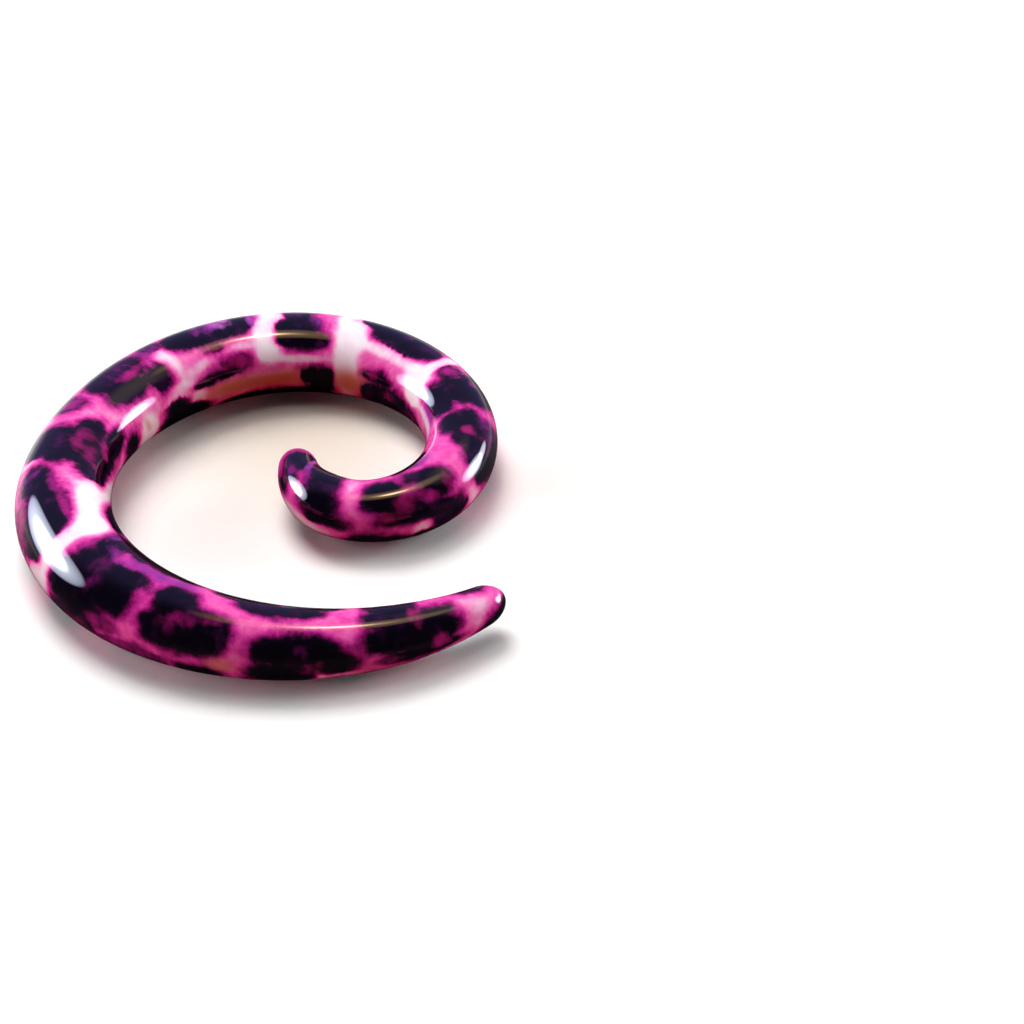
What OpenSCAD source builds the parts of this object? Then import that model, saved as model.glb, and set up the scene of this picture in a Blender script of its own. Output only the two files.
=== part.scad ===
// Spiral ear taper: one solid rod, bent flat into a spiral and ground to a taper at both ends.
// Millimetres, +Z up. It lies on the plane z = 0 as it would by itself, with its box centred on the origin.

/* [Rod] */
// Thickness of the rod at its thickest section, which is the gauge that it is worn at
rod_d = 10; // [6:0.5:13]
// Length over which the curled end rounds off
curl_nose = 2.2; // [1.5:0.1:4]
// Length over which the tip of the tail rounds off
tip_nose = 2.6; // [1.5:0.1:4]

/* [Spiral] */
// Size of every bend, as a share of the bend radii in the table of sections
bend_scale = 1; // [0.9:0.05:1.5]
// Direction in which the curled end sets off, in degrees from +X towards +Y
heading = -95.4; // [-180:0.2:180]

/* [Facets] */
// Sides of the rod's cross-section
sides = 36; // [16:4:44]
// Rings of points along the rod between its rounded ends
body_rings = 110; // [60:10:125]
// Rings of points on each rounded end
nose_rings = 6; // [3:1:8]

/* [Hidden] */

// The rod's sections, from the curled end to the tail: TURN is how far the rod has turned by then in degrees,
// BEND is the radius of its middle line in mm, and THICK is its thickness as a share of rod_d
TURN = 0;
BEND = 1;
THICK = 2;
SECTIONS = [
    // TURN, BEND, THICK
    [0, 11.5, 0.36],
    [50, 7.0, 0.61],
    [100, 7.8, 0.65],
    [160, 12.8, 0.75],
    [220, 16.3, 0.81],
    [275, 19.7, 0.89],
    [315, 24.9, 0.91],
    [345, 28.3, 0.91],
    [375, 21.9, 1.00],
    [405, 23.3, 0.97],
    [440, 28.1, 0.81],
    [475, 29.1, 0.60],
    [500, 27.8, 0.36]
];
last_row = len(SECTIONS) - 1;
full_turn = SECTIONS[last_row][TURN];

// Turns at the three sections whose undersides touch the surface that the rod lies on
REST_TURNS = [200, 245, 393];

// Slope of a column of the table at one of its rows, from the rows on either side
function slope(column, row) =
    let (
        before = SECTIONS[max(row - 1, 0)],
        after = SECTIONS[min(row + 1, last_row)]
    )
    (after[column] - before[column]) / (after[TURN] - before[TURN]);

// Value of a column at any turn, on one smooth cubic from row to row
function section_at(column, turn) =
    let (
        row = max([for (i = [0 : last_row - 1]) if (SECTIONS[i][TURN] <= turn) i]),
        from = SECTIONS[row],
        to = SECTIONS[row + 1],
        span = to[TURN] - from[TURN],
        t = (turn - from[TURN]) / span
    )
    (2 * t^3 - 3 * t^2 + 1) * from[column] + (3 * t^2 - 2 * t^3) * to[column]
    + (t^3 - 2 * t^2 + t) * span * slope(column, row)
    + (t^3 - t^2) * span * slope(column, row + 1);

function bend_at(turn) = bend_scale * section_at(BEND, turn);

// Turn taken up by the rounding of each end
curl_turn = curl_nose / bend_at(0) * 180 / PI;
tip_turn = tip_nose / bend_at(full_turn) * 180 / PI;

// Share of the thickness that is left where an end rounds off: 0 at the very end, 1 where the nose begins
function nose_share(turn_left, nose_turn) = sqrt(1 - (1 - min(turn_left / nose_turn, 1))^2);

// Radius of the rod at any turn
function radius_at(turn) =
    rod_d / 2 * section_at(THICK, turn)
    * nose_share(turn, curl_turn) * nose_share(full_turn - turn, tip_turn);

// Turns of the rings: close together on the noses, even between them, and one point at each very end
nose_steps = [for (i = [0 : nose_rings - 1]) 1 - cos(90 * i / nose_rings)];
body_turn = full_turn - curl_turn - tip_turn;
turns = concat(
    [for (step = nose_steps) curl_turn * step],
    [for (i = [0 : body_rings]) curl_turn + body_turn * i / body_rings],
    [for (i = [nose_rings - 1 : -1 : 0]) full_turn - tip_turn * nose_steps[i]]
);
last_ring = len(turns) - 1;

// Middle line of the rod on a flat plane: short chords, each along the rod's direction halfway
function chord(i) =
    let (
        middle = (turns[i] + turns[i + 1]) / 2,
        step = bend_at(middle) * (turns[i + 1] - turns[i]) * PI / 180
    )
    step * [cos(heading + middle), sin(heading + middle)];
line = [for (p = [0, 0], i = 0; i <= last_ring; p = i < last_ring ? p + chord(i) : p, i = i + 1) p];

// Point of the middle line at any turn, on the chord that holds it
function line_at(turn) =
    let (
        i = max([for (k = [0 : last_ring - 1]) if (turns[k] <= turn) k]),
        t = (turn - turns[i]) / (turns[i + 1] - turns[i])
    )
    line[i] + t * (line[i + 1] - line[i]);

// Lean of the middle line's plane, in mm of height for each mm along X and along Y, so that the three
// resting sections, which differ in thickness, reach down to the same level
touch = [for (turn = REST_TURNS) concat(line_at(turn), radius_at(turn))];
across = touch[1] - touch[0];
along = touch[2] - touch[0];
area = across[0] * along[1] - across[1] * along[0];
lean_x = (across[2] * along[1] - across[1] * along[2]) / area;
lean_y = (across[0] * along[2] - across[2] * along[0]) / area;

// Directions of the leaning plane: its own x, its own y and the way up from it
lean_up = [-lean_x, -lean_y, 1] / norm([-lean_x, -lean_y, 1]);
plane_x = [1, 0, lean_x] / norm([1, 0, lean_x]);
plane_y = cross(lean_up, plane_x);

// Points of one ring around the middle line
function ring(i) =
    let (
        centre = line[i][0] * plane_x + line[i][1] * plane_y,
        way = heading + turns[i],
        outward = sin(way) * plane_x - cos(way) * plane_y
    )
    [
        for (k = [0 : sides - 1])
            let (round = 360 * k / sides)
            centre + radius_at(turns[i]) * (cos(round) * outward + sin(round) * lean_up)
    ];

// Every point of the rod: the curled end, the rings between, and the tip of the tail
function end_point(i) = line[i][0] * plane_x + line[i][1] * plane_y;
free_points = concat(
    [end_point(0)],
    [for (i = [1 : last_ring - 1]) each ring(i)],
    [end_point(last_ring)]
);

// Shift that centres the rod's box on the origin and brings its lowest point to z = 0
function lowest(axis) = min([for (p = free_points) p[axis]]);
function highest(axis) = max([for (p = free_points) p[axis]]);
shift = [-(lowest(0) + highest(0)) / 2, -(lowest(1) + highest(1)) / 2, -lowest(2)];

// Index of a point on a ring, and of the tip of the tail
function at(i, k) = 1 + (i - 1) * sides + k % sides;
tip = 1 + (last_ring - 1) * sides;

// Triangles: a fan at each end and two between each pair of neighbouring points and rings
faces = concat(
    [for (k = [0 : sides - 1]) [0, at(1, k), at(1, k + 1)]],
    [
        for (i = [1 : last_ring - 2], k = [0 : sides - 1])
            each [
                [at(i, k), at(i + 1, k), at(i + 1, k + 1)],
                [at(i, k), at(i + 1, k + 1), at(i, k + 1)]
            ]
    ],
    [for (k = [0 : sides - 1]) [tip, at(last_ring - 1, k + 1), at(last_ring - 1, k)]]
);

// The whole rod, in the hot pink that its print leaves showing
module spiral_taper() {
    color("hotpink")
        polyhedron(points = [for (p = free_points) p + shift], faces = faces, convexity = 6);
}

spiral_taper();
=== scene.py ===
"""Spiral ear taper: a bent acrylic rod with a pink leopard print under a thick clear coat.

The rod repeats the table and the formulas of the CAD part, on a finer grid. Its print is laid out on the
rod as if it were straight: every blotch has a place along the rod and a place around it. Lengths are in
millimetres where no comment says otherwise, and in metres once a mesh, lamp or camera is made.
"""

import math

import bpy
import numpy as np
from mathutils import Matrix


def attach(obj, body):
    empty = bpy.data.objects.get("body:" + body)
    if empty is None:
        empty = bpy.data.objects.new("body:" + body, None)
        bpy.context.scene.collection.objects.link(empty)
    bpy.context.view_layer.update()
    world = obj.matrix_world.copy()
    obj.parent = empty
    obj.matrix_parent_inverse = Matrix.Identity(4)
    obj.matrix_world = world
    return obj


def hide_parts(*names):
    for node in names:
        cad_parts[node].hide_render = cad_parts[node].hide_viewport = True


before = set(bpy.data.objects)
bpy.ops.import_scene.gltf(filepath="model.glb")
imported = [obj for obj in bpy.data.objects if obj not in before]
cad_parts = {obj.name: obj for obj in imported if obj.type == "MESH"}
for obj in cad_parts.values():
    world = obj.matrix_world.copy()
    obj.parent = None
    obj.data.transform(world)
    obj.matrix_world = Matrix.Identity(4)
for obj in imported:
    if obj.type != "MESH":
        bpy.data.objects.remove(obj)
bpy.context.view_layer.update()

MM = 0.001

# The rod, as in the CAD part

ROD_D = 10.0
CURL_NOSE = 2.2
TIP_NOSE = 2.6
HEADING = -95.4
REST_TURNS = (200, 245, 393)
SECTIONS = np.array([
    # TURN in degrees, BEND radius in mm, THICK as a share of ROD_D
    [0, 11.5, 0.36],
    [50, 7.0, 0.61],
    [100, 7.8, 0.65],
    [160, 12.8, 0.75],
    [220, 16.3, 0.81],
    [275, 19.7, 0.89],
    [315, 24.9, 0.91],
    [345, 28.3, 0.91],
    [375, 21.9, 1.00],
    [405, 23.3, 0.97],
    [440, 28.1, 0.81],
    [475, 29.1, 0.60],
    [500, 27.8, 0.36],
])
TURN, BEND, THICK = 0, 1, 2
FULL_TURN = SECTIONS[-1, TURN]

# Points of the finer grid
SIDES = 96
BODY_RINGS = 960
NOSE_RINGS = 20

# The print

# Columns of the tables of spots
ALONG, AROUND, LENGTH, WIDTH, LEAN, STRONG, TONE = range(7)

# Blotches on the side that shows, as read off: place ALONG the rod in mm from the curled end, place AROUND
# it in degrees (0 faces out of the spiral, 90 is the top, 180 faces into it), half its LENGTH in mm, half
# its WIDTH in degrees, and how far its length LEANS from the rod's direction towards the top, in degrees
BLOTCHES = np.array([
    # ALONG, AROUND, LENGTH, WIDTH, LEAN
    [3.3, 112, 0.9, 26, 0],
    [3.9, 82, 1.3, 24, 0],
    [5.4, 96, 1.3, 24, 0],
    [5.0, 54, 1.7, 11, 0],
    [5.2, 22, 0.8, 8, 0],
    [7.6, 134, 2.3, 15, -10],
    [8.8, 106, 1.8, 26, 0],
    [9.2, 76, 1.6, 26, 0],
    [9.7, 42, 1.5, 26, 0],
    [10.5, 10, 1.7, 12, 0],
    [17.6, 62, 4.3, 36, 0],
    [18.0, 18, 3.2, 13, 0],
    [14.4, -31, 2.0, 15, 0],
    [21.0, -6, 1.8, 19, 24],
    [20.6, 128, 3.2, 10, 9],
    [29.5, 106, 1.8, 16, 0],
    [28.8, 78, 2.7, 22, 0],
    [27.8, 46, 3.1, 26, 0],
    [27.6, 16, 3.2, 18, 0],
    [34.6, 120, 2.9, 22, 0],
    [35.3, 84, 2.3, 26, 0],
    [35.3, 54, 2.5, 22, 0],
    [38.5, 80, 0.9, 14, 0],
    [39.8, 205, 3.2, 20, 0],
    [44.6, 204, 4.5, 33, 0],
    [46.2, 163, 2.4, 7, 0],
    [45.5, 83, 4.2, 28, 0],
    [47.4, 64, 3.9, 24, 0],
    [57.7, 127, 3.3, 13, 0],
    [58.3, 104, 2.6, 17, 0],
    [58.3, 76, 1.4, 24, 0],
    [55.5, 182, 2.4, 16, 0],
    [55.2, 204, 1.9, 12, 0],
    [61.5, 220, 7.6, 15, 0],
    [68.7, 85, 5.3, 27, 0],
    [69.9, 162, 3.6, 6, 4],
    [66.8, 150, 1.9, 9, 0],
    [69.0, 123, 1.0, 3, 0],
    [75.3, 72, 1.0, 15, 0],
    [75.0, 208, 4.1, 21, 0],
    [76.6, 182, 1.9, 13, 0],
    [86.1, 189, 1.6, 19, 0],
    [77.5, 127, 1.4, 19, 0],
    [82.2, 117, 3.1, 14, -6],
    [81.2, 82, 3.6, 29, 0],
    [87.4, 64, 1.1, 18, 0],
    [91.8, 152, 4.2, 15, 0],
    [97.0, 134, 3.1, 21, -6],
    [93.6, 116, 4.5, 22, 0],
    [94.4, 86, 3.0, 22, 0],
    [94.0, 56, 2.3, 22, 0],
    [100.2, 58, 2.1, 20, 0],
    [104.6, 66, 3.6, 23, -3],
    [105.0, 27, 3.1, 20, 0],
    [106.6, 149, 4.1, 10, -18],
    [113.3, 122, 1.6, 18, 0],
    [113.2, 92, 1.3, 14, 0],
    [113.5, 64, 1.9, 24, 0],
    [113.3, 26, 2.9, 28, 0],
    [117.0, 54, 2.5, 31, 0],
    [115.2, 6, 3.1, 13, 0],
    [113.4, -14, 2.6, 13, 0],
    [120.0, -24, 3.2, 13, 0],
    [117.6, 126, 6.2, 14, 0],
    [118.6, 78, 1.2, 12, 0],
    [123.4, 66, 1.9, 30, 0],
    [124.8, 31, 3.9, 26, 0],
    [125.0, 58, 1.8, 14, 0],
    [127.0, 49, 2.0, 18, 0],
    [126.4, -29, 2.0, 13, 0],
    [132.9, 117, 6.5, 13, 0],
    [133.3, 98, 4.2, 14, 0],
    [135.0, 28, 3.9, 23, 0],
    [133.8, -18, 3.0, 26, 0],
    [138.4, 2, 1.9, 20, 0],
    [144.5, 106, 2.5, 24, -8],
    [145.9, 36, 4.6, 31, 0],
    [148.5, 70, 2.0, 14, 0],
    [146.6, -6, 3.9, 14, 0],
    [153.6, 113, 1.2, 17, 0],
    [155.0, -9, 2.2, 20, 25],
    [143.8, 76, 2.4, 20, 0],
])

# Hearts: soft coloured places inside the blotches. TONE goes from 0, dark red, by 1, purple, to 2, lilac pink
HEARTS = np.array([
    # ALONG, AROUND, LENGTH, WIDTH, LEAN, STRONG, TONE
    [4.0, 134, 1.3, 8, -38, 1.0, 1.8],
    [5.6, 102, 1.6, 9, -38, 1.0, 1.2],
    [6.9, 78, 1.3, 9, -38, 0.9, 1.0],
    [5.2, 58, 1.4, 12, 0, 0.5, 0.9],
    [7.0, 30, 1.0, 10, 0, 0.4, 1.0],
    [13.2, 13, 1.3, 16, 0, 0.9, 0.1],
    [17.2, 94, 0.7, 12, 0, 0.9, 0.6],
    [17.9, 64, 1.2, 16, -20, 0.75, 0.4],
    [19.2, 42, 1.0, 12, 0, 0.7, 0.4],
    [16.9, 42, 1.0, 18, 0, 0.75, 0.1],
    [15.2, 22, 1.2, 10, 0, 0.8, 0.0],
    [21.6, 50, 0.7, 20, 0, 0.5, 0.2],
    [28.6, 77, 0.8, 11, 0, 1.0, 0.3],
    [28.1, 58, 0.5, 12, 0, 0.35, 0.2],
    [30.2, 38, 1.4, 26, 0, 0.5, 0.9],
    [28.2, 30, 1.2, 12, 0, 0.4, 0.9],
    [36.3, 56, 0.9, 9, 0, 0.5, 0.8],
    [38.5, 82, 0.9, 18, 0, 1.0, 0.6],
    [39.0, 205, 2.6, 20, 0, 0.8, 0.8],
    [44.0, 186, 1.8, 12, 0, 0.5, 0.6],
    [43.2, 158, 1.6, 8, 0, 0.9, 0.2],
    [47.4, 160, 1.2, 7, 0, 0.8, 0.2],
    [46.0, 74, 1.0, 8, 0, 0.4, 1.0],
    [55.7, 80, 1.2, 26, 0, 0.85, 1.2],
    [54.8, 104, 0.8, 16, 0, 0.9, 0.4],
    [58.8, 76, 1.0, 12, 0, 0.5, 1.0],
    [66.8, 74, 1.2, 18, 0, 0.9, 1.7],
    [69.2, 80, 1.6, 19, 0, 0.6, 1.1],
    [63.4, 82, 0.6, 28, 0, 1.0, 1.35],
    [66.6, 146, 2.6, 12, 0, 1.0, 0.25],
    [69.0, 123, 0.9, 3, 0, 0.7, 0.1],
    [75.3, 74, 1.0, 16, 0, 0.5, 1.0],
    [79.2, 98, 2.6, 6, 0, 0.9, 0.5],
    [80.4, 104, 1.3, 5, 0, 0.6, 0.3],
    [81.6, 84, 2.6, 15, 0, 0.3, 1.0],
    [79.0, 72, 1.8, 16, 0, 0.3, 1.0],
    [87.4, 66, 1.1, 18, 0, 1.0, 0.7],
    [92.6, 143, 1.6, 7, 20, 0.95, 0.3],
    [93.4, 120, 2.8, 20, 0, 0.36, 0.1],
    [93.2, 104, 2.4, 10, 0, 0.4, 0.4],
    [94.0, 82, 2.0, 12, 0, 0.3, 1.0],
    [96.6, 128, 2.2, 14, 0, 0.4, 0.3],
    [100.6, 80, 1.9, 7, 0, 0.9, 0.7],
    [98.8, 50, 0.8, 18, 0, 0.5, 1.0],
    [105.0, 86, 2.8, 6, 0, 1.0, 0.6],
    [102.2, 34, 1.2, 13, 0, 0.9, 0.6],
    [103.0, 14, 2.6, 18, 0, 1.0, 0.45],
    [112.0, 124, 0.8, 18, 0, 0.7, 1.0],
    [113.6, 98, 1.4, 7, 0, 0.6, 1.0],
    [115.9, 94, 1.4, 9, 0, 1.0, 1.4],
    [114.6, 60, 1.2, 26, 0, 0.4, 0.8],
    [118.0, 99, 2.6, 7, 0, 0.7, 1.3],
    [123.0, 108, 2.0, 7, 0, 0.9, 1.6],
    [120.4, 98, 0.8, 12, 0, 0.8, 1.2],
    [117.4, 2, 2.2, 14, 0, 0.8, 0.5],
    [120.0, -24, 3.4, 15, 0, 1.0, 0.6],
    [113.6, -16, 2.0, 10, 0, 0.5, 0.2],
    [123.8, 44, 1.6, 16, 30, 0.4, 0.5],
    [125.4, 54, 1.3, 12, 0, 0.35, 0.4],
    [127.4, 60, 1.2, 8, 0, 0.5, 0.3],
    [135.4, 24, 1.0, 14, 0, 0.35, 0.9],
    [136.6, -2, 1.4, 14, 30, 0.45, 0.4],
    [146.5, 72, 0.8, 30, 0, 0.6, 0.15],
    [148.6, 10, 0.8, 18, 0, 0.9, 0.35],
    [148.6, -4, 1.2, 10, 0, 0.5, 0.6],
    [143.4, -8, 1.4, 12, 0, 0.6, 0.6],
])

# Pale spots of the ground between the blotches, whitest where STRONG is 1, and a painted reflection
PALE_AND_REFLECTION_SPOTS = np.array([
    # ALONG, AROUND, LENGTH, WIDTH, LEAN, STRONG
    [1.5, 150, 0.7, 24, 0, 0.8],
    [12.4, 72, 1.2, 44, 0, 0.4],
    [7.6, -18, 3.8, 22, 0, 0.85],
    [18.2, -18, 1.0, 26, 0, 0.75],
    [23.6, 0, 1.2, 24, 0, 0.6],
    [39.2, 160, 1.5, 12, 0, 0.9],
    # Painted reflection: a lavender-white band down the inner edge, below a highlight
    [33.4, 159, 4.6, 7, 0, 0.8],
    [40.5, 130, 1.9, 27, 0, 1.0],
    [40.2, 90, 0.7, 30, 0, 0.9],
    [40.5, 62, 0.7, 16, 0, 0.8],
    [46.0, 119, 4.4, 13, 0, 0.75],
    [51.7, 120, 1.9, 52, 0, 1.0],
    [52.4, 74, 1.5, 24, 0, 1.0],
    [51.4, 168, 1.8, 18, 0, 0.8],
    [62.5, 108, 1.3, 26, 0, 1.0],
    [61.0, 75, 1.4, 26, 0, 1.0],
    [62.2, 142, 1.8, 16, 0, 0.9],
    [66.0, 128, 2.6, 7, 0, 0.4],
    [57.6, 154, 3.6, 7, 0, 0.7],
    [72.0, 140, 3.0, 9, 10, 0.4],
    [74.6, 116, 0.9, 28, 0, 0.5],
    [75.4, 156, 2.4, 8, 0, 0.5],
    [76.6, 168, 2.6, 8, 0, 0.7],
    [73.0, 186, 1.2, 20, -30, 0.8],
    [82.0, 190, 2.0, 28, 0, 0.95],
    [88.5, 100, 0.8, 24, 0, 0.3],
    [96.2, 46, 1.0, 28, 0, 0.7],
    [75.6, 100, 1.0, 16, 0, 0.5],
    [104.0, 119, 5.6, 19, -17, 0.85],
    [109.2, 104, 1.9, 22, 0, 0.85],
    [98.5, 166, 4.0, 11, -20, 0.8],
    [109.3, 56, 1.0, 50, 0, 1.0],
    [108.4, 0, 1.6, 18, 0, 1.0],
    [140.6, 116, 0.8, 14, 0, 0.2],
    [152.7, 80, 1.7, 44, 0, 0.34],
    [154.2, 50, 1.2, 24, 0, 0.3],
    [152.7, 20, 1.2, 28, 0, 0.32],
    [139.0, -24, 2.0, 10, 0, 0.6],
    [136.9, -32, 1.0, 14, 0, 0.5],
    [60.0, 182, 4.0, 16, 0, 0.34],
    [67.6, 184, 5.4, 16, 0, 0.34],
    [51.4, 200, 1.8, 22, 0, 0.5],
    [78.7, 142, 0.8, 8, 0, 0.3],
    # On the far side
    [24.0, -140, 1.2, 40, 0, 0.5],
    [40.0, -60, 1.2, 60, 0, 0.7],
    [52.0, -50, 1.8, 70, 0, 0.9],
    [69.0, -20, 1.8, 30, 0, 0.6],
    [82.0, -110, 1.5, 50, 0, 0.8],
    [96.0, -30, 1.2, 40, 0, 0.6],
    [109.0, -70, 1.5, 50, 0, 0.9],
    [133.0, -110, 1.3, 40, 0, 0.5],
])

# Painted warm shade: tan spots on the undersides of the back's inside and of the front
WARM_SHADE_SPOTS = np.array([
    # ALONG, AROUND, LENGTH, WIDTH, LEAN, STRONG
    [50.8, 185, 2.8, 24, 0, 1.0],
    [60.0, 184, 4.8, 14, 0, 1.0],
    [67.8, 184, 5.0, 15, 0, 1.0],
    [82.2, 176, 0.5, 13, 25, 0.6],
    [128.6, -5, 1.3, 12, 0, 0.8],
])

# Violet spots of the ground, and the lavender of a painted reflection
VIOLET_AND_REFLECTION_SPOTS = np.array([
    # ALONG, AROUND, LENGTH, WIDTH, LEAN, STRONG
    # Painted reflection: the lavender of a band down the inner edge, below a highlight, in these two rows
    [33.6, 149, 3.0, 5, 0, 0.8],
    [33.4, 159, 4.0, 8, 0, 0.3],
    [63.6, 80, 0.7, 26, 0, 0.5],
    [76.6, 80, 0.8, 18, 0, 0.5],
    [112.0, 112, 0.7, 30, 0, 0.5],
    [21.8, 112, 1.8, 9, 10, 0.7],
    [117.0, 98, 2.2, 9, 0, 0.65],
    [120.2, 103, 2.6, 8, 0, 0.75],
    [123.4, 107, 1.8, 9, 0, 0.7],
    [120.6, 94, 1.0, 10, 0, 0.4],
])

# Side of the rod that the charted blotches cover: its first and last place around, at places along the rod
FIRST_SHOWN = np.array([
    # ALONG in mm, AROUND in degrees
    [0, -20],
    [12, -42],
    [30, 15],
    [45, 52],
    [65, 58],
    [95, 30],
    [115, -28],
    [157, -35],
])
LAST_SHOWN = np.array([
    # ALONG in mm, AROUND in degrees
    [0, 185],
    [14, 128],
    [30, 165],
    [45, 222],
    [70, 228],
    [85, 212],
    [95, 190],
    [115, 140],
    [130, 128],
    [157, 138],
])

# The other side's blotches are scattered at random: how many places are tried, and in mm how far they stay
# from the rod's ends, from each other and from the charted side, and the ranges of half their lengths and
# widths. No half width is more than a share of the rod's radius. The range of the lean is in degrees.
FAR_SEED = 11
FAR_TRIES = 4000
FAR_ENDS = 1.0
FAR_GAP = 1.0
FAR_ROOM = 0.3
FAR_LENGTH = (2.2, 4.6)
FAR_WIDTH = (1.7, 3.2)
FAR_WIDEST = 0.75
FAR_LEAN = (-35, 35)
# Each far blotch has one heart: how far it lies from the middle and its size, as shares of the blotch, and
# the ranges of its strength and tone
FAR_HEART_OFF = 0.35
FAR_HEART_SIZE = 0.5
FAR_HEART_STRONG = (0.2, 0.9)
FAR_HEART_TONE = (0.2, 1.4)

# A blotch is a rounded box: 2 would make it an ellipse
BOXY = 2.5
# A spot fades from its middle like a bell: 2 would make it the usual one
BELL = 3.0
# Width over which neighbouring blotches melt together, and the distances past which they no longer do, in mm
MELT = 0.22
MELT_REACH = (-6, 12)
# Radius in mm below which the print is laid out as on a rod of that radius
THINNEST = 0.4
# Smallest share and heart that anything is divided by, and smallest sum that a logarithm is taken of
LEAST_SHARE = 1e-3
LEAST_HEART = 1e-6
LEAST_SUM = 1e-30

# Stretches of the rod in mm along it: where the rims of the blotches become furry and smooth again, and
# where at the back they become half as furry and furry again
FURRY_STARTS = (27, 37)
FURRY_ENDS = (103, 114)
BACK_STARTS = (38, 43)
BACK_ENDS = (73, 79)

# Stretch at the back: its fur as a share of the fur elsewhere
BACK_FUR = 0.5
# How strongly noise moves the rims, in mm for each unit of noise: waves, then teeth and hairs on smooth
# stretches and on furry ones. The whole rim lies a little inside its charted place, in mm.
WAVES = 0.9
TEETH = (0.55, 1.10)
HAIRS = (0.06, 0.68)
RIM_INSET = 0.10
# Hairs are shorter and longer by these shares of their length, as the waves' noise goes between these values
HAIR_SHARES = (0.35, 1.25)
HAIR_CHANGES = (-0.12, 0.15)
# Steps across the rim, in mm from it: pale, violet, the painted reflection and the painted warm shade begin,
# hazes end and hearts end
GROUND_BEGINS = (0.0, 0.55)
HAZE_ENDS = (-0.15, 0.25)
HEARTS_END = (0.1, 0.7)
# Pink stops changing at this distance in mm from the rim, on smooth stretches and on furry ones. Pale spots,
# the painted reflection among them, and clouds then move it on, by mm for each unit.
PINK_STOPS = (1.3, 1.9)
PALE_MOVES = 1.9
CLOUD_MOVES = 1.6
# Glow at which a pale spot is fully pale, and below which a heart sinks into its blotch's black
PALE_FULL = 0.85
HEART_FULL = 0.45
# Smoke in the hearts: how strongly noise and the teeth's noise move their glow, and its values between which
# a heart shows
SMOKE = 1.9
SMOKE_TEETH = 0.2
HEART_SHOWS = (-0.05, 1.35)
# Values of the noise between which a haze shows
HAZE_SHOWS = (0.02, 0.24)

# Ground from the rim of a blotch outwards: share of the way, and colour
GROUND_RAMP = (
    (0.000, (0.002, 0.001, 0.005)),
    (0.096, (0.005, 0.002, 0.008)),
    (0.136, (0.030, 0.002, 0.022)),
    (0.184, (0.120, 0.003, 0.062)),
    (0.240, (0.320, 0.009, 0.160)),
    (0.312, (0.560, 0.028, 0.280)),
    (0.400, (0.800, 0.068, 0.380)),
    (0.512, (0.890, 0.155, 0.490)),
    (0.640, (0.920, 0.380, 0.650)),
    (0.800, (0.930, 0.700, 0.840)),
    (1.000, (0.940, 0.860, 0.900)),
)
# Distances in mm from the rim at which that way begins and ends
GROUND_REACH = (-0.6, 3.9)
# Hearts: half their TONE, and colour
HEART_RAMP = (
    (0.00, (0.260, 0.006, 0.080)),
    (0.25, (0.400, 0.010, 0.190)),
    (0.50, (0.200, 0.010, 0.200)),
    (0.75, (0.420, 0.060, 0.460)),
    (1.00, (0.780, 0.220, 0.680)),
)
# Tan of the painted warm shade on the undersides
WARM_SHADE = (0.620, 0.180, 0.110, 1.0)
# Violet of the print and of the painted reflection
VIOLET = (0.240, 0.026, 0.280, 1.0)
HAZE = (0.030, 0.003, 0.034, 1.0)

# Unrolled map of the rod: the margin at both ends of a row, the height at which the rows of the rod's first
# and second half begin, their height, and the length of an end's fan
MAP_MARGIN = 0.02
MAP_ROWS = (0.005, 0.505)
MAP_HEIGHT = 0.49
MAP_FAN = 0.0005

# Camera, floor and lamps

# Camera: the place that it faces and its distance from there, both in mm, its height above the floor and
# its turn to the right of the front in degrees, its lens and sensor in mm, and the nearest place that it
# sees, in m
CAMERA_TARGET = (26.14, 1.25, 0.0)
CAMERA_AWAY = 300.0
CAMERA_RISE = 38.33
CAMERA_TURN = 0.35
CAMERA_LENS = 98.74
SENSOR = 36.0
CAMERA_NEAR = 0.01

# Half the length of the floor's side, in m
FLOOR_HALF = 3.0
FLOOR_WHITE = (0.94, 0.94, 0.94, 1.0)
# Painted warm shade on the floor, inside the spiral and at the inner foot of its back, and a painted shadow
# right of the rod: x and y of the middle and reach, in mm, and colour
FLOOR_SHADE_PLACES = (
    (-6.0, 4.0, 34.0, (0.89, 0.86, 0.82)),
    (4.0, 15.0, 22.0, (0.76, 0.68, 0.59)),
    (29.0, 7.0, 12.0, (0.84, 0.79, 0.77)),
)
# Light that the floor throws back: the middle of its warmest place and how far from there it changes, in mm,
# and the colours there and beyond
BOUNCE_MIDDLE = (4.0, 16.0)
BOUNCE_CHANGES = (12.0, 30.0)
BOUNCE_NEAR = (0.42, 0.06, 0.02, 1.0)
BOUNCE_FAR = (0.50, 0.27, 0.26, 1.0)
# Floor in the rod's mirror: dim and pale colour. It turns pale towards the back and away from the middle,
# and dim again to the right, down to a share of the pale, between these distances in mm
MIRROR_DIM = (0.035, 0.028, 0.032, 1.0)
MIRROR_PALE = (0.75, 0.74, 0.76, 1.0)
MIRROR_BACK = (-15.0, 20.0)
MIRROR_AWAY = (22.0, 36.0)
MIRROR_RIGHT = (4.0, 20.0)
MIRROR_RIGHT_SHARE = 0.12
# Distances in mm over which the floor ends in the rod's mirror and for the camera
MIRROR_ENDS = (45.0, 55.0)
CAMERA_ENDS = (200.0, 600.0)

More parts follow.
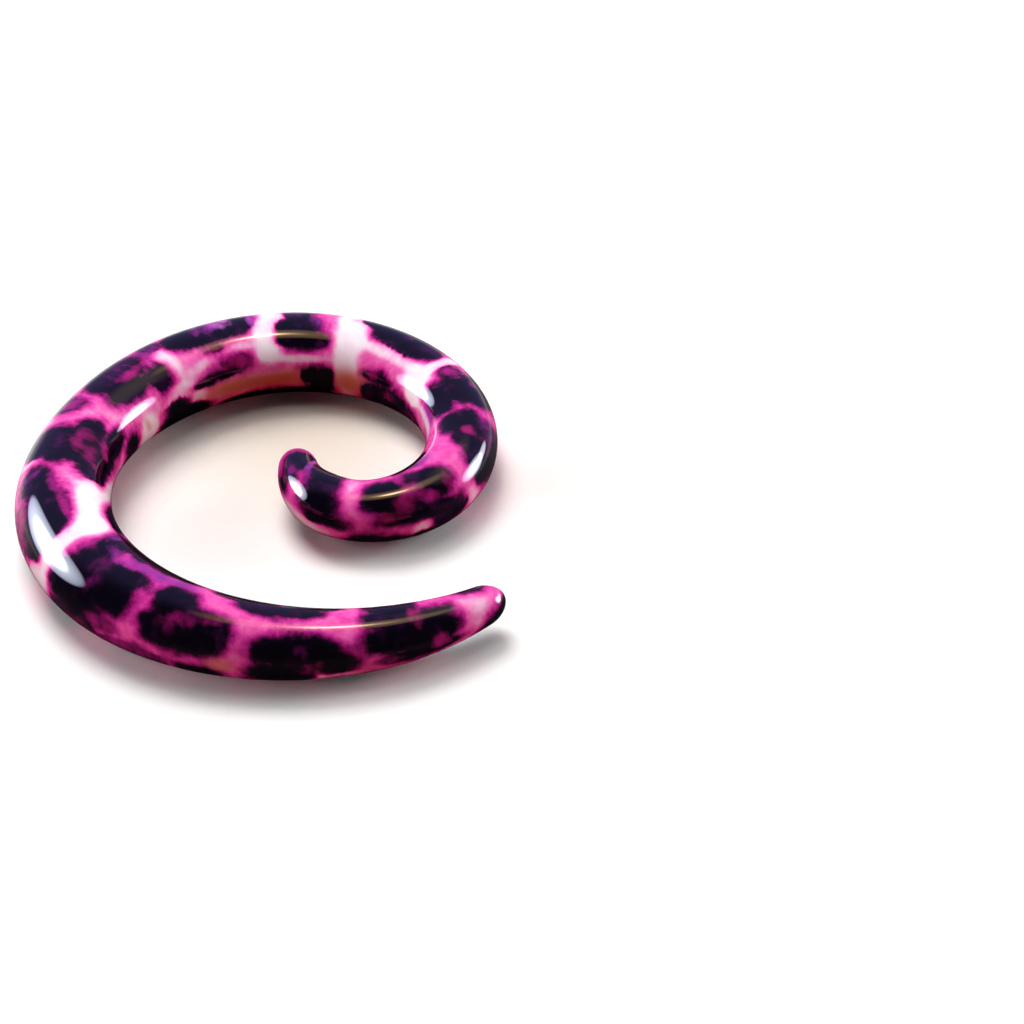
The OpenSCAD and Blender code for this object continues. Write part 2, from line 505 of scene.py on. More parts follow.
# Studio in the rod's mirror, above the floor's level and below it: the colours in front and at the back, and
# where one turns into the other, as a share of the way to the back. Below turns into above between two
# heights, as shares of the way up.
ABOVE_FRONT = (0.02, 0.018, 0.02, 1.0)
ABOVE_BACK = (0.20, 0.17, 0.44, 1.0)
ABOVE_TURNS = (-0.15, 0.35)
BELOW_FRONT = (0.03, 0.025, 0.025, 1.0)
BELOW_BACK = (0.80, 0.78, 0.78, 1.0)
BELOW_TURNS = (0.0, 0.5)
LEVEL_TURNS = (-0.25, 0.05)
# Studio's own light on the print and the floor, and its colour for the camera
STUDIO_LIGHT = (0.012, 0.011, 0.012, 1.0)
STUDIO_SEEN = (0.93, 0.93, 0.94, 1.0)

# Profiles of the lamps: share of the way from the middle to the rim, and colour
BOX_GLOW = (
    (0.00, (1.0, 1.0, 1.0)),
    (0.42, (0.90, 0.93, 1.0)),
    (0.62, (0.29, 0.31, 0.38)),
    (0.90, (0.15, 0.16, 0.21)),
    (1.00, (0.0, 0.0, 0.0)),
)
WING_GLOW = (
    (0.00, (1.0, 0.92, 1.0)),
    (0.75, (0.70, 0.62, 0.82)),
    (1.00, (0.0, 0.0, 0.0)),
)
STRIP_GLOW = (
    (0.00, (1.0, 0.80, 0.58)),
    (0.13, (0.90, 0.58, 0.34)),
    (0.25, (0.26, 0.16, 0.08)),
    (0.40, (0.085, 0.055, 0.025)),
    (0.75, (0.050, 0.032, 0.014)),
    (1.00, (0.0, 0.0, 0.0)),
)
HAZE_GLOW = (
    (0.00, (1.0, 0.76, 0.43)),
    (0.50, (0.70, 0.52, 0.30)),
    (1.00, (0.0, 0.0, 0.0)),
)
EVEN_GLOW = ((0.0, (1.0, 0.99, 0.98)), (1.0, (1.0, 0.99, 0.98)))
WARM_GLOW = ((0.0, (1.0, 0.80, 0.62)), (1.0, (1.0, 0.80, 0.62)))

# Lamps: RISE above the floor and SIDE clockwise from the back, WIDE and HIGH as the rod sees them, and TWIST
# about their own view, all in degrees, the distance AWAY in m, and how BRIGHT they are, as radiance. The rod
# mirrors the first ones, which light nothing. The others light the print and the floor, and aren't mirrored.
MIRRORED_LAMPS = (
    # NAME, RISE, SIDE, WIDE, HIGH, TWIST, AWAY, BRIGHT, PROFILE
    ("left_box", 17, -77, 50, 43, 0, 0.7, 36, BOX_GLOW),
    ("right_box", 10, 73, 28, 27, 0, 0.3, 36, BOX_GLOW),
    ("right_wing", 8.6, 62.7, 19, 13, 0, 0.145, 11, WING_GLOW),
    ("warm_strip", 79, 70, 28, 58, 6, 0.8, 34, STRIP_GLOW),
    ("warm_haze", 50, 52, 56, 30, 0, 0.8, 0.8, HAZE_GLOW),
)
LIGHTING_LAMPS = (
    # NAME, RISE, SIDE, WIDE, HIGH, TWIST, AWAY, BRIGHT, PROFILE
    ("key", 60, -28, 36, 36, 0, 0.8, 8.7, EVEN_GLOW),
    ("top_fill", 85, 0, 40, 40, 0, 0.8, 2.7, EVEN_GLOW),
    ("left_fill", 12, -95, 60, 45, 0, 0.8, 4.0, EVEN_GLOW),
    ("right_fill", 14, 76, 30, 30, 0, 0.8, 9.3, EVEN_GLOW),
    ("right_high", 32, 92, 40, 30, 0, 0.8, 0.7, EVEN_GLOW),
    ("front_fill", 18, 170, 60, 30, 0, 0.8, 0.05, WARM_GLOW),
)


def table_value(column, turn):
    """Column of SECTIONS at any turn: one smooth cubic from row to row, whose slope at a row is the rise
    between the rows on either side."""
    turns = SECTIONS[:, TURN]
    values = SECTIONS[:, column]
    last = len(turns) - 1
    before = np.maximum(np.arange(last + 1) - 1, 0)
    after = np.minimum(np.arange(last + 1) + 1, last)
    slope = (values[after] - values[before]) / (turns[after] - turns[before])
    row = np.clip(np.searchsorted(turns, turn, side="right") - 1, 0, last - 1)
    span = turns[row + 1] - turns[row]
    t = (turn - turns[row]) / span
    return (
        (2 * t**3 - 3 * t**2 + 1) * values[row]
        + (3 * t**2 - 2 * t**3) * values[row + 1]
        + (t**3 - 2 * t**2 + t) * span * slope[row]
        + (t**3 - t**2) * span * slope[row + 1]
    )


def nose_turns():
    """Turns in degrees that the roundings of the curled end and of the tail's tip take up: the length of each
    over the bend radius there."""
    curl_bend, tip_bend = table_value(BEND, np.array([0.0, FULL_TURN]))
    return math.degrees(CURL_NOSE / curl_bend), math.degrees(TIP_NOSE / tip_bend)


def rod_radius(turn):
    """Half the thickness at any turn. Each end is a quarter of an ellipse: the square root of one less the
    square of the share of the nose that is left."""
    curl_turn, tip_turn = nose_turns()
    nose = 1.0
    for left, length in ((turn, curl_turn), (FULL_TURN - turn, tip_turn)):
        nose = nose * np.sqrt(np.maximum(1 - (1 - np.minimum(left / length, 1)) ** 2, 0))
    return ROD_D / 2 * table_value(THICK, turn) * nose


def ring_turns():
    """Turns of the rings: even along the body, and closing up on both noses like the cosine of even steps."""
    curl_turn, tip_turn = nose_turns()
    steps = 1 - np.cos(np.radians(90 * np.arange(NOSE_RINGS) / NOSE_RINGS))
    body = np.linspace(curl_turn, FULL_TURN - tip_turn, BODY_RINGS + 1)
    return np.concatenate([curl_turn * steps, body, FULL_TURN - tip_turn * steps[::-1]])


def middle_line(turn):
    """The flat middle line: the sum of short chords, each as long as the bend radius times the turn made
    on it, and each in the rod's direction halfway along it."""
    middle = (turn[1:] + turn[:-1]) / 2
    step = table_value(BEND, middle) * np.radians(np.diff(turn))
    way = np.radians(HEADING + middle)
    chords = np.stack([step * np.cos(way), step * np.sin(way)], axis=1)
    return np.concatenate([[[0.0, 0.0]], np.cumsum(chords, axis=0)])


def resting_plane(turn, line, radius):
    """Up, x and y directions of the middle line's plane. It leans until the undersides of the three resting
    sections, which differ in radius, are level."""
    rest = np.array(REST_TURNS, float)
    touch = np.stack([
        np.interp(rest, turn, line[:, 0]),
        np.interp(rest, turn, line[:, 1]),
        np.interp(rest, turn, radius),
    ], axis=1)
    across = touch[1] - touch[0]
    along = touch[2] - touch[0]
    area = across[0] * along[1] - across[1] * along[0]
    lean_x = (across[2] * along[1] - across[1] * along[2]) / area
    lean_y = (across[0] * along[2] - across[2] * along[0]) / area
    up = np.array([-lean_x, -lean_y, 1.0])
    up = up / np.linalg.norm(up)
    plane_x = np.array([1.0, 0.0, lean_x])
    plane_x = plane_x / np.linalg.norm(plane_x)
    return up, plane_x, np.cross(up, plane_x)


def rod_grid():
    """Points of the rod, a row for each ring and a column for each place around it: middle line plus radius
    times (cosine of the place around, outwards, plus its sine, upwards). The first and last rows are the
    two end points. Returns the points, each ring's place along the rod, and its radius."""
    turn = ring_turns()
    line = middle_line(turn)
    radius = rod_radius(turn)
    up, plane_x, plane_y = resting_plane(turn, line, radius)
    centre = line[:, :1] * plane_x + line[:, 1:] * plane_y
    way = np.radians(HEADING + turn)[:, None]
    outward = np.sin(way) * plane_x - np.cos(way) * plane_y
    around = np.radians(360 * np.arange(SIDES) / SIDES)[None, :, None]
    spread = np.cos(around) * outward[:, None] + np.sin(around) * up
    points = centre[:, None] + radius[:, None, None] * spread
    low = points.reshape(-1, 3).min(axis=0)
    high = points.reshape(-1, 3).max(axis=0)
    points = points - [(low[0] + high[0]) / 2, (low[1] + high[1]) / 2, low[2]]
    steps = np.linalg.norm(np.diff(line, axis=0), axis=1)
    return points, np.concatenate([[0.0], np.cumsum(steps)]), radius


def degrees_apart(first, second):
    """First less second place around the rod, taken the short way round."""
    return (first - second + 180) % 360 - 180


def offset_from_spot(row, along, around, radius):
    """Offset of every point from the middle of a spot, along the spot and across it, and half the spot's
    width, all in mm. The offset around the rod is its angle times the rod's radius, and both offsets are
    turned by the spot's lean."""
    here = np.interp(row[ALONG], along[:, 0], radius[:, 0])
    u = along - row[ALONG]
    v = np.radians(degrees_apart(around, row[AROUND])) * radius
    lean = math.radians(row[LEAN])
    x = u * math.cos(lean) + v * math.sin(lean)
    y = v * math.cos(lean) - u * math.sin(lean)
    return x, y, math.radians(row[WIDTH]) * here


def distance_to_spots(spots, along, around, radius):
    """Distance in mm from every point to the rim of each spot, negative inside it. The point's share of the
    way to the rim is the root of the summed powers of both its offsets over both half sizes, and the distance
    is the whole offset less the whole offset over that share."""
    found = []
    for row in spots:
        x, y, half_width = offset_from_spot(row, along, around, radius)
        share = (np.abs(x / row[LENGTH]) ** BOXY + np.abs(y / half_width) ** BOXY) ** (1 / BOXY)
        offset = np.hypot(x, y)
        found.append(offset - offset / np.maximum(share, LEAST_SHARE))
    return found


def melted(distances):
    """Smooth union: minus MELT times the logarithm of the summed exponentials of minus each distance over
    MELT."""
    total = 0
    for distance in distances:
        total = total + np.exp(-np.clip(distance, *MELT_REACH) / MELT)
    return -MELT * np.log(np.maximum(total, LEAST_SUM))


def shown_range(along):
    """First and last place around the rod, in degrees, of the side that the charted blotches cover."""
    return np.interp(along, *FIRST_SHOWN.T), np.interp(along, *LAST_SHOWN.T)


def far_blotches(along, radius):
    """Blotches for the side that the chart leaves bare: random places and sizes, kept where a spot of that
    size stays clear of the charted side and of those already kept."""
    random = np.random.default_rng(FAR_SEED)
    length_of_rod = along[-1, 0]
    kept = []
    for _ in range(FAR_TRIES):
        at = random.uniform(FAR_ENDS, length_of_rod - FAR_ENDS)
        around = random.uniform(-180, 180)
        long = random.uniform(*FAR_LENGTH)
        wide = random.uniform(*FAR_WIDTH)
        lean = random.uniform(*FAR_LEAN)
        here = np.interp(at, along[:, 0], radius[:, 0])
        wide = min(wide, here * FAR_WIDEST)
        first, last = shown_range(at)
        room = math.degrees((wide + FAR_ROOM) / here)
        if abs(degrees_apart(around, (first + last) / 2)) < (last - first) / 2 + room:
            continue
        clear = True
        for other in kept:
            gap_along = at - other[ALONG]
            gap_around = math.radians(degrees_apart(around, other[AROUND])) * here
            reach = FAR_GAP + (long + other[LENGTH]) / 2 + (wide + math.radians(other[WIDTH]) * here) / 2
            if math.hypot(gap_along, gap_around) < reach:
                clear = False
        if clear:
            kept.append([at, around, long, math.degrees(wide / here), lean])
    return np.array(kept)


def far_hearts(blotches):
    """One heart for each far blotch, at a random place near its middle, of random strength and tone."""
    random = np.random.default_rng(FAR_SEED + 1)
    count = len(blotches)
    off = random.uniform(-FAR_HEART_OFF, FAR_HEART_OFF, (count, 2))
    return np.stack([
        blotches[:, ALONG] + off[:, 0] * blotches[:, LENGTH],
        blotches[:, AROUND] + off[:, 1] * blotches[:, WIDTH],
        blotches[:, LENGTH] * FAR_HEART_SIZE,
        blotches[:, WIDTH] * FAR_HEART_SIZE,
        blotches[:, LEAN],
        random.uniform(*FAR_HEART_STRONG, count),
        random.uniform(*FAR_HEART_TONE, count),
    ], axis=1)


def spot_glow(spots, along, around, radius):
    """Every spot: its STRONG column times the exponential of minus a power of the point's share of the way
    from the spot's middle to its rim."""
    found = []
    for row in spots:
        x, y, half_width = offset_from_spot(row, along, around, radius)
        found.append(row[STRONG] * np.exp(-(((x / row[LENGTH]) ** 2 + (y / half_width) ** 2) ** (BELL / 2))))
    return found


def make_rod():
    """Mesh of the rod: four-sided faces between rings, a fan at each end, and the print's attributes."""
    points, along, radius = rod_grid()
    rings = points[1:-1]
    count = len(rings)
    ring_of, side_of = np.meshgrid(np.arange(count - 1), np.arange(SIDES), indexing="ij")
    ring_of, side_of = ring_of.ravel(), side_of.ravel()
    following = (side_of + 1) % SIDES

    def at(ring, side):
        """Index of a vertex on a ring, after the one at the curled end."""
        return 1 + ring * SIDES + side

    quads = np.stack([
        at(ring_of, side_of),
        at(ring_of + 1, side_of),
        at(ring_of + 1, following),
        at(ring_of, following),
    ], axis=1)[:, ::-1]
    sides = np.arange(SIDES)
    tip = 1 + count * SIDES
    last = count - 1
    after = (sides + 1) % SIDES
    start_fan = np.stack([np.zeros_like(sides), at(0, sides), at(0, after)], axis=1)[:, ::-1]
    tip_fan = np.stack([np.full_like(sides, tip), at(last, after), at(last, sides)], axis=1)[:, ::-1]
    vertices = np.concatenate([points[:1, 0], rings.reshape(-1, 3), points[-1:, 0]]) * MM
    mesh = bpy.data.meshes.new("spiral_rod")
    mesh.from_pydata(vertices.tolist(), [], start_fan.tolist() + quads.tolist() + tip_fan.tolist())
    mesh.shade_smooth()

    # Unrolled map: the rod's second half lies above its first, and each fan's pole lies beside its rim
    half = along[-1] / 2
    quad_along = np.stack([along[1:-2], along[2:-1], along[2:-1], along[1:-2]], axis=1)
    corner_along = quad_along[ring_of][:, ::-1]
    corner_side = np.stack([side_of, side_of, side_of + 1, side_of + 1], axis=1)[:, ::-1]
    second = corner_along.mean(axis=1, keepdims=True) > half
    u = MAP_MARGIN + (1 - 2 * MAP_MARGIN) * np.where(second, corner_along - half, corner_along) / half
    v = np.where(second, MAP_ROWS[1], MAP_ROWS[0]) + MAP_HEIGHT * corner_side / SIDES

    def fan_corners(pole, rim, row, second_side, third_side):
        """Map corners of an end's fan: its pole, half a side on, and two places on its rim."""
        fan_u = np.broadcast_to([pole, rim, rim], (SIDES, 3))
        fan_v = row + MAP_HEIGHT * np.stack([sides + 0.5, second_side, third_side], axis=1) / SIDES
        return np.stack([fan_u, fan_v], axis=2)[:, ::-1].reshape(-1, 2)

    corners = np.concatenate([
        fan_corners(MAP_MARGIN, MAP_MARGIN + MAP_FAN, MAP_ROWS[0], sides, sides + 1),
        np.stack([u.ravel(), v.ravel()], axis=1),
        fan_corners(1 - MAP_MARGIN, 1 - MAP_MARGIN - MAP_FAN, MAP_ROWS[1], sides + 1, sides),
    ])
    unrolled = mesh.uv_layers.new(name="OFBake")
    unrolled.uv.foreach_set("vector", corners.astype(np.float32).ravel())

    # Print attributes, on a grid of rings by sides and then on the vertices
    around = np.broadcast_to(360 * np.arange(SIDES) / SIDES, (len(along), SIDES))
    long = np.broadcast_to(along[:, None], around.shape)
    thick = np.broadcast_to(np.maximum(radius, THINNEST)[:, None], around.shape)
    far = far_blotches(long, thick)
    spots = np.concatenate([BLOTCHES, far])
    heart_spots = np.concatenate([HEARTS, far_hearts(far)])
    turned = np.radians(around)
    straight = np.stack([long, thick * np.cos(turned), thick * np.sin(turned)], axis=2)

    hearts = spot_glow(heart_spots, long, around, thick)
    heart = sum(hearts)
    tone = sum(glow * row[TONE] for glow, row in zip(hearts, heart_spots))

    def summed(table):
        """Glow of all the spots of a table together, up to 1."""
        return np.minimum(sum(spot_glow(table, long, around, thick)), 1.0)

    def on_vertices(grid):
        """Values in the order of the vertices, with a whole ring's mean at each very end."""
        flat = grid.reshape(len(along), SIDES, -1)
        ends = [flat[:1].mean(axis=1), flat[1:-1].reshape(-1, flat.shape[2]), flat[-1:].mean(axis=1)]
        return np.concatenate(ends).astype(np.float32).ravel()

    for name, kind, grid in (
        ("straight_rod", "FLOAT_VECTOR", straight),
        ("blotch_edge", "FLOAT", melted(distance_to_spots(spots, long, around, thick))),
        ("blotch_heart", "FLOAT", np.minimum(heart, 1.0)),
        ("heart_tone", "FLOAT", tone / np.maximum(heart, LEAST_HEART)),
        ("pale_and_reflection", "FLOAT", summed(PALE_AND_REFLECTION_SPOTS)),
        ("warm_shade_ground", "FLOAT", summed(WARM_SHADE_SPOTS)),
        ("violet_and_reflection", "FLOAT", summed(VIOLET_AND_REFLECTION_SPOTS)),
    ):
        attribute = mesh.attributes.new(name, kind, "POINT")
        attribute.data.foreach_set("vector" if kind == "FLOAT_VECTOR" else "value", on_vertices(grid))

    piece = bpy.data.objects.new("spiral_rod", mesh)
    bpy.context.scene.collection.objects.link(piece)
    return piece


# Materials

class Wiring:
    """Places nodes in one tree and joins them. A value is a number, a colour or the socket that gives it."""

    def __init__(self, tree):
        self.tree = tree
        tree.nodes.clear()

    def node(self, kind, values=None, **settings):
        """New node with its settings made and its named inputs fed."""
        made = self.tree.nodes.new(kind)
        for name, value in settings.items():
            setattr(made, name, value)
        for name, value in (values or {}).items():
            self.feed(made.inputs[name], value)
        return made

    def feed(self, socket, value):
        """Link a socket to an input, or set the input to a number or colour."""
        if isinstance(value, bpy.types.NodeSocket):
            self.tree.links.new(value, socket)
        else:
            socket.default_value = value

    def math(self, operation, first, second=0.0, third=0.0, clamp=False):
        """Result of one operation on up to three values."""
        made = self.node("ShaderNodeMath", {0: first, 1: second, 2: third}, operation=operation)
        made.use_clamp = clamp
        return made.outputs[0]

    def between(self, share, first, second):
        """Number from first, at share 0, to second, at share 1."""
        return self.math("MULTIPLY_ADD", share, second - first, first)

    def attribute(self, name, output="Fac"):
        """Value that the mesh holds on its vertices under a name."""
        return self.node("ShaderNodeAttribute", attribute_name=name).outputs[output]

    def noise(self, vector, scale, detail, roughness, stretch=(1.0, 1.0, 1.0)):
        """Noise less its average, so that it swings about 0."""
        mapped = self.node("ShaderNodeMapping", {"Vector": vector, "Scale": stretch})
        made = self.node("ShaderNodeTexNoise", {
            "Vector": mapped.outputs[0], "Scale": scale, "Detail": detail, "Roughness": roughness,
        })
        return self.math("SUBTRACT", made.outputs["Fac"], 0.5)

    def fade(self, value, low, high, first=0.0, second=1.0):
        """Smooth step from first to second as value goes from low to high."""
        made = self.node("ShaderNodeMapRange", {
            "Value": value, "From Min": low, "From Max": high, "To Min": first, "To Max": second,
        }, interpolation_type="SMOOTHSTEP")
        return made.outputs["Result"]

    def ramp(self, value, stops):
        """Colour at a value, from stops of position and colour."""
        made = self.node("ShaderNodeValToRGB", {"Fac": value})
        elements = made.color_ramp.elements
        while len(elements) < len(stops):
            elements.new(1.0)
        for element, (position, colour) in zip(elements, stops):
            element.position = position
            element.color = (*colour, 1.0)
        return made.outputs["Color"]

    def mix(self, share, first, second):
        """Colour from first, at share 0, to second, at share 1."""
        made = self.node("ShaderNodeMix", {"Factor": share}, data_type="RGBA")
        self.feed(made.inputs[6], first)
        self.feed(made.inputs[7], second)
        return made.outputs[2]


def printed_acrylic():
    """Leopard print under a clear coat. The colour follows the distance to the nearest blotch, which noise
    makes ragged: black inside with coloured hearts, then a magenta fringe and hot pink, with pale and violet
    places. Tan places are painted warm shade on the undersides, and one pale violet band is a painted
    reflection."""
    material = bpy.data.materials.new("printed_acrylic")
    material.use_nodes = True
    net = Wiring(material.node_tree)
    place = net.attribute("straight_rod", "Vector")
    edge = net.attribute("blotch_edge")
    heart = net.attribute("blotch_heart")
    tone = net.attribute("heart_tone")
    # Pale spots, and a painted lavender-white reflection down the inner edge
    pale = net.attribute("pale_and_reflection")
    # Painted warm shade, in tan, on the undersides
    tan = net.attribute("warm_shade_ground")
    # Violet spots, two of them the lavender of a painted reflection
    violet = net.attribute("violet_and_reflection")

    # Ragged rims: slow waves, then teeth and hairs that run around the rod, longest on its middle
    along = net.node("ShaderNodeSeparateXYZ", {"Vector": place}).outputs["X"]
    furry = net.math("MULTIPLY", net.fade(along, *FURRY_STARTS), net.fade(along, *FURRY_ENDS, 1.0, 0.0))
    at_back = net.math("MULTIPLY", net.fade(along, *BACK_STARTS), net.fade(along, *BACK_ENDS, 1.0, 0.0))
    furry = net.math("MULTIPLY", furry, net.between(at_back, 1.0, BACK_FUR))
    wavy = net.noise(place, scale=0.5, detail=2.0, roughness=0.5)
    uneven = net.fade(wavy, *HAIR_CHANGES, *HAIR_SHARES)
    ragged = net.noise(place, scale=1.2, detail=3.0, roughness=0.6, stretch=(1.4, 0.7, 0.7))
    hairy = net.noise(place, scale=2.0, detail=3.0, roughness=0.55, stretch=(1.2, 0.45, 0.45))
    rough_edge = net.math("MULTIPLY_ADD", wavy, WAVES, edge)
    rough_edge = net.math("MULTIPLY_ADD", ragged, net.between(furry, *TEETH), rough_edge)
    hairs = net.math("MULTIPLY", uneven, net.between(furry, *HAIRS))
    rough_edge = net.math("MULTIPLY_ADD", hairy, hairs, rough_edge)
    rough_edge = net.math("ADD", rough_edge, RIM_INSET)

    # Ground, from the rim of a blotch outwards: black, magenta fringe, hot pink, and pale pink to white in
    # the pale spots alone
    outside = net.fade(rough_edge, *GROUND_BEGINS)
    # Pale spots whiten the ground, and one of them paints a reflection
    paler = net.math("MULTIPLY", net.fade(pale, 0.0, PALE_FULL), outside)
    cloud = net.noise(place, scale=0.8, detail=4.0, roughness=0.6)
    reach = net.math("MINIMUM", rough_edge, net.between(furry, *PINK_STOPS))
    reach = net.math("MULTIPLY_ADD", paler, PALE_MOVES, reach)
    reach = net.math("MULTIPLY_ADD", cloud, CLOUD_MOVES, reach)
    first, last = GROUND_REACH
    step = net.math("MULTIPLY_ADD", reach, 1 / (last - first), -first / (last - first), clamp=True)
    ground = net.ramp(step, GROUND_RAMP)
    # Mix in the painted warm shade on the undersides
    ground = net.mix(net.math("MULTIPLY", tan, outside), ground, WARM_SHADE)
    # Violet spots mix in, two of them painting a reflection
    ground = net.mix(net.math("MULTIPLY", violet, outside), ground, VIOLET)

    # Hearts, soft and smoky, cut off at the rim of their blotch; purple hazes drift through the black
    smoke = net.noise(place, scale=0.8, detail=2.0, roughness=0.5, stretch=(1.2, 0.8, 0.8))
    inside = net.fade(rough_edge, *HAZE_ENDS, 1.0, 0.0)
    drift = net.noise(place, scale=0.45, detail=3.0, roughness=0.6)
    haze = net.math("MULTIPLY", net.fade(drift, *HAZE_SHOWS), inside)
    dark = net.mix(haze, ground, HAZE)
    smoky = net.math("MULTIPLY_ADD", smoke, SMOKE, heart)
    smoky = net.math("MULTIPLY_ADD", ragged, SMOKE_TEETH, smoky)
    heart_share = net.math("MULTIPLY", net.fade(smoky, *HEART_SHOWS), net.fade(heart, 0.0, HEART_FULL))
    heart_share = net.math("MULTIPLY", heart_share, net.fade(rough_edge, *HEARTS_END, 1.0, 0.0))
    heart_colour = net.ramp(net.math("MULTIPLY", tone, 0.5), HEART_RAMP)
    colour = net.mix(heart_share, dark, heart_colour)

    shader = net.node("ShaderNodeBsdfPrincipled", {
        "Base Color": colour,
        "Roughness": 0.4,
        "IOR": 1.5,
        "Specular IOR Level": 0.0,
        "Coat Weight": 1.0,
        "Coat Roughness": 0.02,
        "Coat IOR": 1.5,
    })
    net.node("ShaderNodeOutputMaterial", {"Surface": shader.outputs[0]})
    return material


def pale_floor():
    """Smooth white sheet, with painted warm shade here and there, in cream and tan. It throws warm light
    back. The rod mirrors it pale behind and dim in front, up to a short way off, and the camera sees it fade
    into the pale studio."""
    material = bpy.data.materials.new("pale_sheet")
    material.use_nodes = True
    net = Wiring(material.node_tree)
    place = net.node("ShaderNodeTexCoord").outputs["Object"]
    parts = net.node("ShaderNodeSeparateXYZ", {"Vector": place}).outputs
    away = net.node("ShaderNodeVectorMath", {0: place}, operation="LENGTH").outputs["Value"]
    ray = net.node("ShaderNodeLightPath").outputs

    def distance(x, y):
        """Distance from a place on the floor, given in mm, in m."""
        spot = {0: place, 1: (x * MM, y * MM, 0.0)}
        return net.node("ShaderNodeVectorMath", spot, operation="DISTANCE").outputs["Value"]

    def fade_mm(value, span, first=0.0, second=1.0):
        """Smooth step whose two ends are given in mm."""
        return net.fade(value, span[0] * MM, span[1] * MM, first, second)

    colour = FLOOR_WHITE
    # Each place paints its warm shade into the colour that the camera sees
    for x, y, reach, shade_colour in FLOOR_SHADE_PLACES:
        colour = net.mix(fade_mm(distance(x, y), (0.0, reach), 1.0, 0.0), colour, (*shade_colour, 1.0))
    bounced = net.mix(fade_mm(distance(*BOUNCE_MIDDLE), BOUNCE_CHANGES), BOUNCE_NEAR, BOUNCE_FAR)
    seen = net.mix(ray["Is Camera Ray"], bounced, colour)
    behind = net.math("MULTIPLY", fade_mm(parts["Y"], MIRROR_BACK), fade_mm(away, MIRROR_AWAY))
    behind = net.math("MULTIPLY", behind, fade_mm(parts["X"], MIRROR_RIGHT, 1.0, MIRROR_RIGHT_SHARE))
    mirrored = net.mix(behind, MIRROR_DIM, MIRROR_PALE)
    colour = net.mix(ray["Is Glossy Ray"], seen, mirrored)
    sheet = net.node("ShaderNodeBsdfPrincipled", {
        "Base Color": colour, "Roughness": 0.5, "Specular IOR Level": 0.0,
    })
    beyond = net.math("MULTIPLY", ray["Is Glossy Ray"], fade_mm(away, MIRROR_ENDS))
    beyond = net.math("MULTIPLY_ADD", ray["Is Camera Ray"], fade_mm(away, CAMERA_ENDS), beyond, clamp=True)
    clear = net.node("ShaderNodeBsdfTransparent")
    edge = net.node("ShaderNodeMixShader", {"Fac": beyond, 1: sheet.outputs[0], 2: clear.outputs[0]})
    net.node("ShaderNodeOutputMaterial", {"Surface": edge.outputs[0]})
    return material


# The set: lamps, studio, floor and camera

def direction(rise, side):
    """Unit vector towards a place of the studio: rise above the floor and degrees clockwise from the back."""
    rise, side = math.radians(rise), math.radians(side)
    return np.array([math.cos(rise) * math.sin(side), math.cos(rise) * math.cos(side), math.sin(rise)])


def facing_frame(towards):
    """Matrix columns that turn an object's -Z to look back from towards at the centre, with its X level."""
    back = towards / np.linalg.norm(towards)
    level = np.cross([0.0, 0.0, 1.0], back)
    level = level / np.linalg.norm(level)
    return np.stack([level, np.cross(back, level), back], axis=1)


def place_facing(thing, towards, away, centre=(0.0, 0.0, 0.0), twist=0.0):
    """Put a lamp or camera at a distance from the centre, facing it, and twist it about its own view."""
    cos, sin = math.cos(math.radians(twist)), math.sin(math.radians(twist))
    matrix = np.eye(4)
    matrix[:3, :3] = facing_frame(towards) @ [[cos, -sin, 0.0], [sin, cos, 0.0], [0.0, 0.0, 1.0]]
    matrix[:3, 3] = np.array(centre) + away * np.array(towards)
    thing.matrix_world = Matrix(matrix.tolist())


def softbox(name, rise, side, wide, high, twist, away, bright, profile, mirrored):
    """Oval lamp from a row of the lamps' tables. Its power is its radiance times its area times pi. It is
    mirrored and lights nothing, or the other way round."""
    lamp = bpy.data.lights.new(name, "AREA")
    lamp.shape = "ELLIPSE"
    lamp.size = 2 * away * math.tan(math.radians(wide / 2))
    lamp.size_y = 2 * away * math.tan(math.radians(high / 2))
    lamp.energy = bright * lamp.size * lamp.size_y * math.pi * math.pi / 4
    lamp.use_nodes = True
    net = Wiring(lamp.node_tree)
    spot = net.node("ShaderNodeNewGeometry").outputs["Parametric"]
    centred = net.node("ShaderNodeVectorMath", {0: spot, 1: (0.5, 0.5, 0.0)}, operation="SUBTRACT")
    flat = net.node("ShaderNodeVectorMath", {0: centred.outputs[0], 1: (2.0, 2.0, 0.0)}, operation="MULTIPLY")
    share = net.node("ShaderNodeVectorMath", {0: flat.outputs[0]}, operation="LENGTH").outputs["Value"]
    glow = net.node("ShaderNodeEmission", {"Color": net.ramp(share, profile), "Strength": 1.0})
    net.node("ShaderNodeOutputLight", {"Surface": glow.outputs[0]})
    thing = bpy.data.objects.new(name, lamp)
    bpy.context.scene.collection.objects.link(thing)
    place_facing(thing, direction(rise, side), away, twist=twist)
    thing.visible_glossy = mirrored
    thing.visible_diffuse = not mirrored


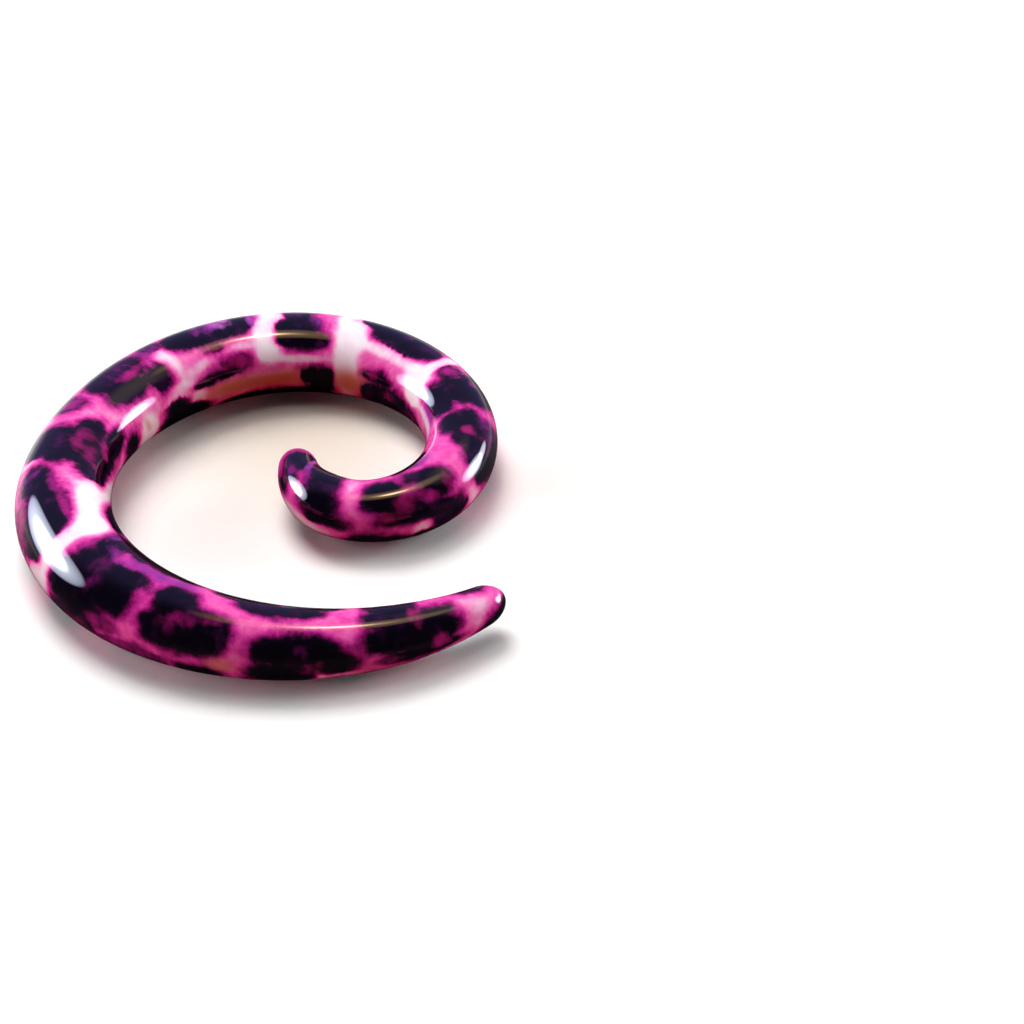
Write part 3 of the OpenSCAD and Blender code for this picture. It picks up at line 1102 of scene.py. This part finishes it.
def make_world():
    """Dim studio. The rod mirrors it navy above the back, pale below the back and nearly black in front, and
    the camera sees it pale past the floor."""
    world = bpy.data.worlds.new("studio")
    bpy.context.scene.world = world
    world.use_nodes = True
    net = Wiring(world.node_tree)
    place = net.node("ShaderNodeTexCoord").outputs["Generated"]
    parts = net.node("ShaderNodeSeparateXYZ", {"Vector": place}).outputs
    above = net.mix(net.fade(parts["Y"], *ABOVE_TURNS), ABOVE_FRONT, ABOVE_BACK)
    below = net.mix(net.fade(parts["Y"], *BELOW_TURNS), BELOW_FRONT, BELOW_BACK)
    mirrored = net.mix(net.fade(parts["Z"], *LEVEL_TURNS), below, above)
    ray = net.node("ShaderNodeLightPath").outputs
    lit = net.mix(ray["Is Glossy Ray"], STUDIO_LIGHT, mirrored)
    colour = net.mix(ray["Is Camera Ray"], lit, STUDIO_SEEN)
    shader = net.node("ShaderNodeBackground", {"Color": colour, "Strength": 1.0})
    net.node("ShaderNodeOutputWorld", {"Surface": shader.outputs[0]})


def make_floor():
    """Flat square that the rod lies on."""
    mesh = bpy.data.meshes.new("floor")
    corners = [(x * FLOOR_HALF, y * FLOOR_HALF, 0.0) for x, y in ((-1, -1), (1, -1), (1, 1), (-1, 1))]
    mesh.from_pydata(corners, [], [(0, 1, 2, 3)])
    mesh.materials.append(pale_floor())
    floor = bpy.data.objects.new("floor", mesh)
    bpy.context.scene.collection.objects.link(floor)


def make_camera():
    """Camera that faces its target from a set height and turn, with the rod in the left half of its view."""
    lens = bpy.data.cameras.new("camera")
    lens.lens = CAMERA_LENS
    lens.sensor_width = SENSOR
    lens.clip_start = CAMERA_NEAR
    camera = bpy.data.objects.new("camera", lens)
    bpy.context.scene.collection.objects.link(camera)
    rise, turn = math.radians(CAMERA_RISE), math.radians(CAMERA_TURN)
    towards = np.array([math.sin(turn) * math.cos(rise), -math.cos(turn) * math.cos(rise), math.sin(rise)])
    place_facing(camera, towards, CAMERA_AWAY * MM, np.array(CAMERA_TARGET) * MM)
    bpy.context.scene.camera = camera


make_camera()
make_world()
make_floor()
for lamp in MIRRORED_LAMPS:
    softbox(*lamp, mirrored=True)
for lamp in LIGHTING_LAMPS:
    softbox(*lamp, mirrored=False)
bpy.context.scene.view_settings.view_transform = "Standard"

rod = make_rod()
rod.data.materials.append(printed_acrylic())
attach(rod, "root")
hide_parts("spiral_taper")
